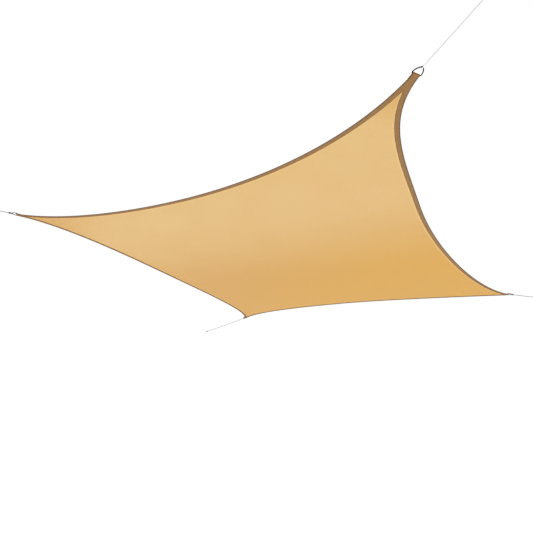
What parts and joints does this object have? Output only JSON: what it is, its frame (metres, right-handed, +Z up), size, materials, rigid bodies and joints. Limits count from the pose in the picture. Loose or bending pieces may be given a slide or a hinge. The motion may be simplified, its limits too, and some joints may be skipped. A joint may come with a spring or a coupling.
{
  "type": "shade sail",
  "caption": "Square shade sail of tan knitted cloth with concave hemmed sides, folded necks on triangle rings and a looped rope at each corner.",
  "frame": {"origin": "where a hook bears in the left corner's rope loop, the highest of the four places that the sail hangs from", "axes": "+Z up; +X across the sail towards its right corner, down whose slope of 5 degrees the sail hangs; +Y towards its far corner, as the picture looks at it from below and in front"},
  "size_m": [5.7761, 7.0669, 0.5002],
  "materials": {
    "shade_cloth": "knitted, matte",
    "ring_steel": "black, satin",
    "rope": "braided"
  },
  "bodies": {
    "root": {"sail": "shade_cloth", "ring_near": "ring_steel", "ring_left": "ring_steel", "ring_right": "ring_steel", "ring_far": "ring_steel", "knot_near": "rope", "knot_left": "rope", "knot_right": "rope", "knot_far": "rope", "rope_near": "rope", "rope_left": "rope", "rope_right": "rope", "rope_far": "rope", "loop_near": "rope", "loop_left": "rope", "loop_right": "rope", "loop_far": "rope"}
  },
  "joints": []
}
